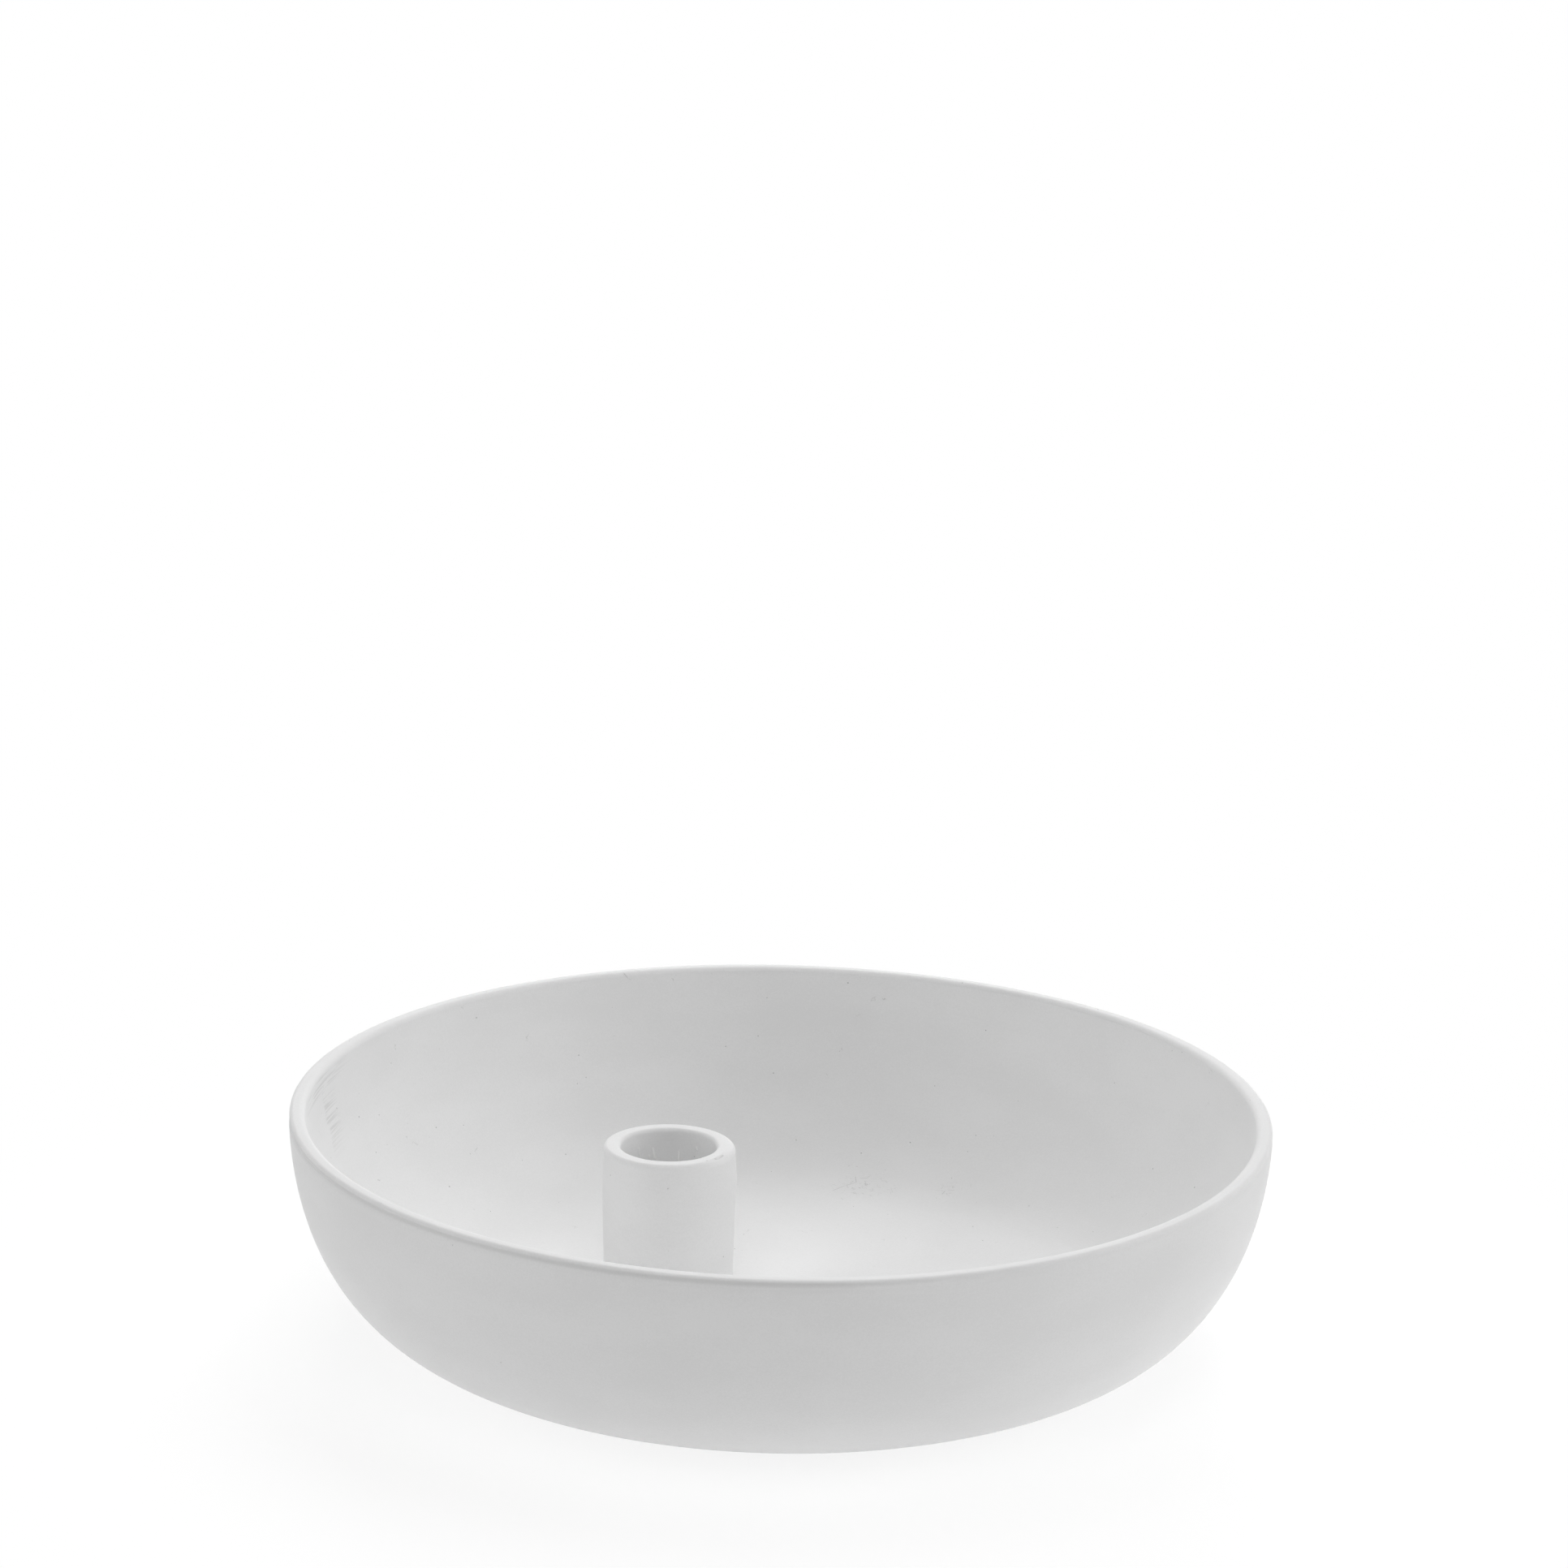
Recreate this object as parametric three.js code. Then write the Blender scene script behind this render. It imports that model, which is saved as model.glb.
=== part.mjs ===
// Ceramic candle dish: a wide, shallow bowl with an upright candle socket luted to its floor.
// Millimetres, +Z up. The origin is the centre of the foot, on the table.
// +X runs to the right and +Y to the back when the socket stands to the left of the centre.

import * as THREE from 'three';

// Bowl
const RIM_RADIUS = 120;
const BOWL_HEIGHT = 55;
const WALL_THICKNESS = 4;
const FLOOR_THICKNESS = 4.5;
const LIP_OUTER_ROUND = 1.2;
const LIP_INNER_ROUND = 1.5;

// Foot: a flat ring that the dish stands on, round a shallow recess
const FOOT_RADIUS = 82;
const FOOT_WIDTH = 9;
const FOOT_RECESS = 1.5;

// Belly: how far the curve follows its tangents at the foot and at the rim
const BELLY_FOOT_REACH = 23;
const BELLY_FOOT_RISE = 2;
const BELLY_RIM_REACH = 30;
const BELLY_RIM_LEAN = 0.6;

// Socket: a tall cup with a thick bottom, for a 22 mm dinner candle, that stands off the centre
const SOCKET_X = -26.8;
const SOCKET_Y = -7.1;
const SOCKET_HEIGHT = 40;
const SOCKET_BOTTOM = 17;
const CANDLE_DIAMETER = 22;
const CANDLE_CLEARANCE = 0.85;
const SOCKET_WALL = 4.4;
const SOCKET_DRAFT = 0.4;
const SOCKET_OUTER_ROUND = 1.5;
const SOCKET_BORE_ROUND = 1;

// Seam: the bead of slip round the socket's base
const SEAM_SIZE = 2.5;
const SEAM_EDGE = 0.2;
const SEAM_CLEARANCE = 0.1;

// Fineness of the round surfaces
const BOWL_SIDES = 96;
const SOCKET_SIDES = 48;
const BELLY_STEPS = 14;
const ROUND_STEPS = 3;
const SEAM_STEPS = 4;

// Sizes worked out from the ones above
const floorTop = FOOT_RECESS + FLOOR_THICKNESS;
const boreRadius = CANDLE_DIAMETER / 2 + CANDLE_CLEARANCE;
const socketTopRadius = boreRadius + SOCKET_WALL;
const socketBaseRadius = socketTopRadius - SOCKET_DRAFT;
const socketTop = floorTop + SOCKET_HEIGHT;
const candleSeat = floorTop + SOCKET_BOTTOM;

const glazeMaterial = new THREE.MeshStandardMaterial({
  color: 0xe4e4e2,
  roughness: 0.85,
  metalness: 0,
});
const socketMaterial = new THREE.MeshStandardMaterial({
  color: 0xe7e7e5,
  roughness: 0.82,
  metalness: 0,
});
const slipMaterial = new THREE.MeshStandardMaterial({
  color: 0xdededb,
  roughness: 0.9,
  metalness: 0,
});

// Points on an arc in a section; angles are in quarter turns from the outward direction.
function arcPoints(centreRadius, centreHeight, radius, fromQuarter, toQuarter, steps) {
  const points = [];
  for (let i = 0; i <= steps; i += 1) {
    const angle = THREE.MathUtils.lerp(fromQuarter, toQuarter, i / steps) * Math.PI / 2;
    const outward = centreRadius + radius * Math.cos(angle);
    const upward = centreHeight + radius * Math.sin(angle);
    points.push(new THREE.Vector2(outward, upward));
  }
  return points;
}

// Revolves a section about the vertical line through the origin.
function revolve(name, section, sides, material) {
  const geometry = new THREE.LatheGeometry(section, sides);
  geometry.rotateX(Math.PI / 2);
  const mesh = new THREE.Mesh(geometry, material);
  mesh.name = name;
  return mesh;
}

// The outside of the bowl from the foot's edge up to the round of the lip.
function bellyCurve() {
  const lipStart = BOWL_HEIGHT - LIP_OUTER_ROUND;
  return new THREE.CubicBezierCurve(
    new THREE.Vector2(FOOT_RADIUS, 0),
    new THREE.Vector2(FOOT_RADIUS + BELLY_FOOT_REACH, BELLY_FOOT_RISE),
    new THREE.Vector2(RIM_RADIUS - BELLY_RIM_LEAN, lipStart - BELLY_RIM_REACH),
    new THREE.Vector2(RIM_RADIUS, lipStart),
  );
}

// The inside of the wall, square in from the belly by a thickness
// that shrinks from the floor's level at the foot to the wall's at the rim.
function innerWallPoints(belly) {
  const points = [];
  const footThickness = floorTop / belly.getTangent(0).x;
  for (let i = 0; i <= BELLY_STEPS; i += 1) {
    const along = i / BELLY_STEPS;
    const tangent = belly.getTangent(along);
    const inward = new THREE.Vector2(-tangent.y, tangent.x);
    const thickness = WALL_THICKNESS + (footThickness - WALL_THICKNESS) * (1 - along) ** 2;
    points.push(belly.getPoint(along).addScaledVector(inward, thickness));
  }
  return points;
}

function makeBowl() {
  const belly = bellyCurve();
  const innerRadius = RIM_RADIUS - WALL_THICKNESS;
  const footInner = FOOT_RADIUS - FOOT_WIDTH;
  const outerLip = arcPoints(
    RIM_RADIUS - LIP_OUTER_ROUND, BOWL_HEIGHT - LIP_OUTER_ROUND, LIP_OUTER_ROUND, 0, 1, ROUND_STEPS);
  const innerLip = arcPoints(
    innerRadius + LIP_INNER_ROUND, BOWL_HEIGHT - LIP_INNER_ROUND, LIP_INNER_ROUND, 1, 2, ROUND_STEPS);
  const section = [
    new THREE.Vector2(0, FOOT_RECESS),
    new THREE.Vector2(footInner, FOOT_RECESS),
    new THREE.Vector2(footInner, 0),
    ...belly.getPoints(BELLY_STEPS).slice(0, -1),
    ...outerLip,
    ...innerLip,
    ...innerWallPoints(belly).reverse(),
    new THREE.Vector2(0, floorTop),
  ];
  return revolve('dish_bowl', section, BOWL_SIDES, glazeMaterial);
}

function makeSocket() {
  const outerRound = arcPoints(
    socketTopRadius - SOCKET_OUTER_ROUND, socketTop - SOCKET_OUTER_ROUND,
    SOCKET_OUTER_ROUND, 0, 1, ROUND_STEPS);
  const boreRound = arcPoints(
    boreRadius + SOCKET_BORE_ROUND, socketTop - SOCKET_BORE_ROUND,
    SOCKET_BORE_ROUND, 1, 2, ROUND_STEPS);
  const section = [
    new THREE.Vector2(0, floorTop),
    new THREE.Vector2(socketBaseRadius, floorTop),
    ...outerRound,
    ...boreRound,
    new THREE.Vector2(boreRadius, candleSeat),
    new THREE.Vector2(0, candleSeat),
  ];
  const socket = revolve('candle_socket', section, SOCKET_SIDES, socketMaterial);
  socket.position.set(SOCKET_X, SOCKET_Y, 0);
  return socket;
}

// A ring with a hollow face, which touches the floor below and clears the socket inside.
function makeSeam() {
  const draftAtTop = SOCKET_DRAFT * SEAM_SIZE / SOCKET_HEIGHT;
  const inner = socketBaseRadius + SEAM_CLEARANCE;
  const outer = inner + SEAM_SIZE;
  const hollow = arcPoints(
    outer, floorTop + SEAM_SIZE, SEAM_SIZE - SEAM_EDGE, 3, 2, SEAM_STEPS);
  const section = [
    new THREE.Vector2(inner, floorTop),
    new THREE.Vector2(outer, floorTop),
    ...hollow,
    new THREE.Vector2(inner + draftAtTop, floorTop + SEAM_SIZE),
    new THREE.Vector2(inner, floorTop),
  ];
  const seam = revolve('socket_seam', section, SOCKET_SIDES, slipMaterial);
  seam.position.set(SOCKET_X, SOCKET_Y, 0);
  return seam;
}

const candleDish = new THREE.Group();
candleDish.add(makeBowl(), makeSocket(), makeSeam());

export default candleDish;
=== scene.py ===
import math

import bpy
import numpy as np
from bpy.props import FloatProperty, FloatVectorProperty, IntProperty, PointerProperty
from mathutils import Matrix, Vector


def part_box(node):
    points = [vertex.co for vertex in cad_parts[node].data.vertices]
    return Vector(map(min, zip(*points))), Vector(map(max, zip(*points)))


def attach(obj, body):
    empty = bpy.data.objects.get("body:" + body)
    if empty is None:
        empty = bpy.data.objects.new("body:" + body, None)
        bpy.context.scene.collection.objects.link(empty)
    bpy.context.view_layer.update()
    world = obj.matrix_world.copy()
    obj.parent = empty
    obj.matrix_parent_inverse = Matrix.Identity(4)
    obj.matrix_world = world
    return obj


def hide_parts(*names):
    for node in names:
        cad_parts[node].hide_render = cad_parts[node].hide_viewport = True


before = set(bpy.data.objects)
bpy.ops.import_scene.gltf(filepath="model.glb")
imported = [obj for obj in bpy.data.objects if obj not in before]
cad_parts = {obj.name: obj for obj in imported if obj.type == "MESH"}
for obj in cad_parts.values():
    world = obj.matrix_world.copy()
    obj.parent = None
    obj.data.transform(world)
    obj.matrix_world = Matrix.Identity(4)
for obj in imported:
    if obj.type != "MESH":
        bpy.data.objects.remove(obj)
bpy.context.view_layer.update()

bl_info = {
    "name": "Ceramic Candle Dish",
    "version": (1, 0, 0),
    "blender": (4, 5, 0),
    "location": "3D Viewport > Sidebar > Candle Dish",
    "description": "Builds a matt-glazed ceramic dish with a candle socket, and its photo studio",
    "category": "Add Mesh",
}

# The sizes here are real ones. Lengths are in metres, so MM turns millimetres into them.
MM = 0.001

# The measured model: every piece below starts from the boxes of these solids.
BOWL_LOW, BOWL_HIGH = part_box("dish_bowl")
SOCKET_LOW, SOCKET_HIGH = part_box("candle_socket")
SEAM_LOW, SEAM_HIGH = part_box("socket_seam")
RIM_RADIUS = (BOWL_HIGH.x - BOWL_LOW.x) / 2
BOWL_HEIGHT = BOWL_HIGH.z
FLOOR_TOP = SOCKET_LOW.z
SOCKET_CENTRE = (SOCKET_LOW + SOCKET_HIGH) / 2
SOCKET_RADIUS = (SOCKET_HIGH.x - SOCKET_LOW.x) / 2
SOCKET_TOP = SOCKET_HIGH.z
SEAM_RADIUS = (SEAM_HIGH.x - SEAM_LOW.x) / 2
SEAM_TOP = SEAM_HIGH.z

# How far the socket and its seam reach into what they are fired to, so that no gap shows.
SUNK = 0.3 * MM


def linear(hex_colour):
    """An sRGB hex colour as three linear values."""
    parts = [int(hex_colour[i:i + 2], 16) / 255 for i in (1, 3, 5)]
    return tuple(c / 12.92 if c <= 0.04045 else ((c + 0.055) / 1.055) ** 2.4 for c in parts)


class CandleDishBowl(bpy.types.PropertyGroup):
    """Sizes of the bowl that its box doesn't give"""

    wall: FloatProperty(
        name="Wall", description="Thickness of the wall at the rim",
        default=4 * MM, min=1 * MM, unit="LENGTH")
    lip_outer_round: FloatProperty(
        name="Outer lip round", description="Radius of the rim's outer edge",
        default=1.2 * MM, min=0.1 * MM, unit="LENGTH")
    lip_inner_round: FloatProperty(
        name="Inner lip round", description="Radius of the rim's inner edge",
        default=1.5 * MM, min=0.1 * MM, unit="LENGTH")
    neck_depth: FloatProperty(
        name="Neck depth", description="How far the wall draws in right under the lip",
        default=0.35 * MM, min=0, unit="LENGTH")
    neck_height: FloatProperty(
        name="Neck height", description="How far under the rim the wall draws in most",
        default=1.7 * MM, unit="LENGTH")
    foot_radius: FloatProperty(
        name="Foot radius", description="Outer radius of the ring that the dish stands on",
        default=82 * MM, unit="LENGTH")
    foot_width: FloatProperty(
        name="Foot width", description="Width of the ring that the dish stands on",
        default=9 * MM, unit="LENGTH")
    foot_recess: FloatProperty(
        name="Foot recess", description="Depth of the hollow inside the foot ring",
        default=1.5 * MM, unit="LENGTH")
    foot_round: FloatProperty(
        name="Foot round", description="Radius of the sponged edges of the foot ring",
        default=0.6 * MM, unit="LENGTH")
    belly_foot_reach: FloatProperty(
        name="Belly reach at the foot", description="How far the belly runs out before it turns up",
        default=23 * MM, unit="LENGTH")
    belly_foot_rise: FloatProperty(
        name="Belly rise at the foot", description="How far the belly has risen at that reach",
        default=2 * MM, unit="LENGTH")
    belly_rim_reach: FloatProperty(
        name="Belly reach at the rim", description="How far down the belly keeps the rim's direction",
        default=30 * MM, unit="LENGTH")
    belly_rim_lean: FloatProperty(
        name="Belly lean at the rim", description="How far the belly leans out over that reach",
        default=0.6 * MM, unit="LENGTH")
    rim_lift: FloatProperty(
        name="Rim lift", description="How far the fired rim rises and falls round the bowl",
        default=0.18 * MM, unit="LENGTH")
    rim_oval: FloatProperty(
        name="Rim oval", description="How far the fired rim is out of round",
        default=0.2 * MM, unit="LENGTH")
    sides: IntProperty(
        name="Sides", description="Facets round the bowl", default=384, min=24)


class CandleDishSocket(bpy.types.PropertyGroup):
    """Sizes of the socket and its seam that their boxes don't give"""

    bore_radius: FloatProperty(
        name="Bore radius", description="Radius of the hole for a 22 mm candle",
        default=11.75 * MM, unit="LENGTH")
    bore_offset: FloatProperty(
        name="Bore offset", description="How far the hole lies to the left of the socket's middle",
        default=0.45 * MM, unit="LENGTH")
    bottom: FloatProperty(
        name="Bottom", description="Thickness of the socket's bottom, which the candle stands on",
        default=17 * MM, unit="LENGTH")
    bottom_round: FloatProperty(
        name="Bottom round", description="Radius of the corner between the bore and its bottom",
        default=1.5 * MM, unit="LENGTH")
    draft: FloatProperty(
        name="Draft", description="How much the radius shrinks from the top to the base",
        default=0.4 * MM, unit="LENGTH")
    outer_round: FloatProperty(
        name="Outer round", description="Radius of the top's outer edge",
        default=1.5 * MM, unit="LENGTH")
    bore_round: FloatProperty(
        name="Bore round", description="Radius of the top's inner edge",
        default=1.0 * MM, unit="LENGTH")
    left_swell: FloatProperty(
        name="Left swell", description="How far the outside swells on the left, under the top",
        default=0.36 * MM, unit="LENGTH")
    right_inset: FloatProperty(
        name="Right inset", description="How far the outside draws in on the right, at the top",
        default=0.33 * MM, unit="LENGTH")
    bulge: FloatProperty(
        name="Bulge", description="Height of the small swelling on the right, under the inset",
        default=0.15 * MM, unit="LENGTH")
    left_fullness: FloatProperty(
        name="Left fullness", description="How much fuller the top's outer edge is on the left",
        default=0.6, min=0, max=0.8, subtype="FACTOR")
    left_slope: FloatProperty(
        name="Left slope", description="How far the top sinks to its outer edge on the left",
        default=0.15 * MM, unit="LENGTH")
    worn_edge: FloatProperty(
        name="Worn edge", description="How far the worn part of the top's edge has sunk",
        default=0.25 * MM, unit="LENGTH")
    nick_depth: FloatProperty(
        name="Nick depth", description="Height of the small step where the worn edge begins",
        default=0.3 * MM, unit="LENGTH")
    nick_radius: FloatProperty(
        name="Nick radius", description="How far from the socket's middle the small step lies",
        default=14.6 * MM, unit="LENGTH")
    nick_lean: FloatProperty(
        name="Nick lean", description="How much nearer the step gets for each radian to the right",
        default=1.4 * MM, unit="LENGTH")
    nick_angle: FloatProperty(
        name="Nick angle", description="Where the small step lies round the top, from the right",
        default=math.radians(-34), subtype="ANGLE")
    seam_waver: FloatProperty(
        name="Seam waver", description="How uneven the wiped bead of slip is",
        default=0.25 * MM, unit="LENGTH")
    sides: IntProperty(
        name="Sides", description="Facets round the socket", default=360, min=24)


class CandleDishGlaze(bpy.types.PropertyGroup):
    """Colours and marks of the matt glaze"""

    glaze: FloatVectorProperty(
        name="Glaze", description="Off-white matt glaze", subtype="COLOR",
        default=linear("#EFEFEF"), min=0, max=1)
    thin_glaze: FloatVectorProperty(
        name="Thin glaze", description="Glaze where the coat is thinner", subtype="COLOR",
        default=linear("#EBEBEB"), min=0, max=1)
    # Also the colour of the painted shade under the lip and along the worn step of the socket.
    dust_and_shade: FloatVectorProperty(
        name="Dust", description="Dust caught in pinholes, hairlines and strokes", subtype="COLOR",
        default=linear("#8A8A88"), min=0, max=1)
    bare_clay: FloatVectorProperty(
        name="Bare clay", description="Unglazed clay under the foot", subtype="COLOR",
        default=linear("#DAD6CE"), min=0, max=1)
    roughness: FloatProperty(
        name="Roughness", description="How matt the glaze is", default=0.72, min=0, max=1,
        subtype="FACTOR")
    pinhole_spacing: FloatProperty(
        name="Pinhole spacing", description="Spacing of the lattice that scatters the pinholes",
        default=2.2 * MM, unit="LENGTH")
    pinhole_radius: FloatProperty(
        name="Pinhole radius", description="Radius of the largest pinholes",
        default=0.24 * MM, unit="LENGTH")
    hairline_width: FloatProperty(
        name="Hairline width", description="Width of the fine lines where the glaze has crawled",
        default=0.2 * MM, unit="LENGTH")


class CandleDishStudio(bpy.types.PropertyGroup):
    """Camera and lamps of the studio"""

    camera_distance: FloatProperty(
        name="Camera distance", description="From the middle of the foot to the lens",
        default=1.0187, unit="LENGTH")
    camera_elevation: FloatProperty(
        name="Camera elevation", description="Height of the lens as an angle over the table",
        default=math.radians(21.57), subtype="ANGLE")
    camera_tilt: FloatProperty(
        name="Camera tilt", description="How far the camera looks over the foot's middle",
        default=math.radians(7.42), subtype="ANGLE")
    camera_turn: FloatProperty(
        name="Camera turn", description="How far the camera looks to the right of the foot's middle",
        default=math.radians(-0.06), subtype="ANGLE")
    camera_roll: FloatProperty(
        name="Camera roll", description="Roll that lowers the right side of the picture",
        default=math.radians(1.29), subtype="ANGLE")
    lens: FloatProperty(
        name="Lens", description="Focal length for a 36 mm wide sensor, in millimetres",
        default=93.17)
    lamp_distance: FloatProperty(
        name="Lamp distance", description="From the dish to each softbox",
        default=1.6, unit="LENGTH")
    lamp_size: FloatProperty(
        name="Lamp size", description="Width of each square softbox",
        default=1.0, unit="LENGTH")
    right: FloatProperty(
        name="Right softbox", description="Power of the low lamp on the right, in watts",
        default=8.0)
    left: FloatProperty(
        name="Left softbox", description="Power of the low lamp on the left, in watts",
        default=6.3)
    front: FloatProperty(
        name="Front softbox", description="Power of the low lamp under the camera, in watts",
        default=2.85)
    front_top: FloatProperty(
        name="Front top softbox", description="Power of the high lamp over the camera, in watts",
        default=6.85)
    back: FloatProperty(
        name="Back softbox", description="Power of the lamp behind the dish, in watts",
        default=11.7)
    back_top: FloatProperty(
        name="Back top softbox", description="Power of the high lamp behind the dish, in watts",
        default=4.5)
    back_right: FloatProperty(
        name="Back right softbox", description="Power of the high lamp behind, on the right, in watts",
        default=6.3)
    table_glow: FloatProperty(
        name="Table glow", description="Strength of the lit panel in the table under the dish",
        default=0.255)
    panel_radius: FloatProperty(
        name="Panel radius", description="Radius of the lit panel in the table",
        default=0.16, unit="LENGTH")
    shadow_share: FloatProperty(
        name="Shadow share", description="How much of the dish's shadow shows on the table",
        default=0.25, min=0, max=1, subtype="FACTOR")
    table_level: FloatProperty(
        name="Table level", description="How bright the matt table is where nothing shades it",
        default=0.8, min=0, max=1, subtype="FACTOR")


def straight(start, end, steps):
    """Points on the straight line from start to end, both included."""
    share = np.linspace(0, 1, steps + 1)[:, None]
    return np.array(start) * (1 - share) + np.array(end) * share


def rounding(centre, radius, start_turn, end_turn, steps=8):
    """Points on an arc: centre plus radius times cosine and sine, with angles in quarter turns."""
    angle = np.linspace(start_turn, end_turn, steps + 1) * math.pi / 2
    return np.array(centre) + radius * np.column_stack((np.cos(angle), np.sin(angle)))


def bezier(controls, share):
    """Points and unit tangents of a cubic Bezier curve at the given shares of its parameter.

    Each point is the sum of the four controls, weighted by the Bernstein polynomials of the
    parameter, and the tangent is the derivative of that sum, divided by its length.
    """
    rest = 1 - share
    a, b, c, d = (np.array(p) for p in controls)
    curve = rest ** 3 * a + 3 * rest ** 2 * share * b + 3 * rest * share ** 2 * c + share ** 3 * d
    slope = rest ** 2 * (b - a) + 2 * rest * share * (c - b) + share ** 2 * (d - c)
    return curve, slope / np.linalg.norm(slope, axis=1, keepdims=True)


def outline(*runs):
    """Joins runs of points into one outline, without the points that two runs share."""
    joined = np.concatenate(runs)
    step = np.linalg.norm(np.diff(joined, axis=0), axis=1)
    return joined[np.concatenate(([True], step > 1e-7))]


def new_mesh(name, vertices, faces, attributes):
    """Puts vertices, faces and float attributes into a new object at the origin."""
    mesh = bpy.data.meshes.new(name)
    mesh.from_pydata(vertices.tolist(), [], faces)
    for attribute, values in attributes.items():
        layer = mesh.attributes.new(attribute, "FLOAT", "POINT")
        layer.data.foreach_set("value", np.ascontiguousarray(values, np.float32))
    mesh.shade_smooth()
    mesh.validate()
    piece = bpy.data.objects.new(name, mesh)
    bpy.context.scene.collection.objects.link(piece)
    return piece


def ring_quads(rows, sides, closed):
    """Four-sided faces between neighbouring rows of a turned grid, outward when the outline
    runs up its outside. A closed outline joins its last row to its first one."""
    row = np.arange(rows if closed else rows - 1)[:, None]
    side = np.arange(sides)[None, :]
    next_row = (row + 1) % rows
    next_side = (side + 1) % sides
    corners = [row * sides + side, row * sides + next_side,
               next_row * sides + next_side, next_row * sides + side]
    return np.stack(corners, axis=-1).reshape(-1, 4)


def turned_solid(name, profile, sides, attributes, shape):
    """A closed outline from axis to axis, turned about the upright axis.

    A grid point has the outline's radius and height and an even share of the full turn, and
    shape gives its place. The first and last points of the outline are the poles.
    """
    turn = np.linspace(0, 2 * math.pi, sides, endpoint=False)
    inner = profile[1:-1]
    radius, angle = np.meshgrid(inner[:, 0], turn, indexing="ij")
    height = np.repeat(inner[:, 1:2], sides, axis=1)
    grid = shape(radius, height, angle).reshape(-1, 3)
    poles = shape(np.zeros(2), profile[[0, -1], 1], np.zeros(2))
    rows = len(inner)
    quads = ring_quads(rows, sides, closed=False)
    side = np.arange(sides)
    next_side = (side + 1) % sides
    first, last = rows * sides, rows * sides + 1
    under = np.column_stack((np.full(sides, first), next_side, side))
    over_row = (rows - 1) * sides
    over = np.column_stack((np.full(sides, last), over_row + side, over_row + next_side))
    spread = {
        key: np.concatenate((np.repeat(values[1:-1], sides), values[[0, -1]]))
        for key, values in attributes.items()
    }
    faces = quads.tolist() + under.tolist() + over.tolist()
    return new_mesh(name, np.concatenate((grid, poles)), faces, spread)


def turned_ring(name, profile, sides, shape):
    """A closed outline that stays off the axis, turned about the upright axis into a ring.

    A grid point has the outline's radius and height and an even share of the full turn, and
    shape gives its place.
    """
    turn = np.linspace(0, 2 * math.pi, sides, endpoint=False)
    radius, angle = np.meshgrid(profile[:, 0], turn, indexing="ij")
    height = np.repeat(profile[:, 1:2], sides, axis=1)
    grid = shape(radius, height, angle).reshape(-1, 3)
    quads = ring_quads(len(profile), sides, closed=True)
    return new_mesh(name, grid, quads.tolist(), {})


def bump_shape(offset, width):
    """A smooth bump: one at offset zero, falling off as a bell curve of that width."""
    return np.exp(-(offset / width) ** 2)


def turn_between(angle, middle):
    """The angle from middle, wrapped to half a turn either way."""
    return (angle - middle + math.pi) % (2 * math.pi) - math.pi


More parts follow.
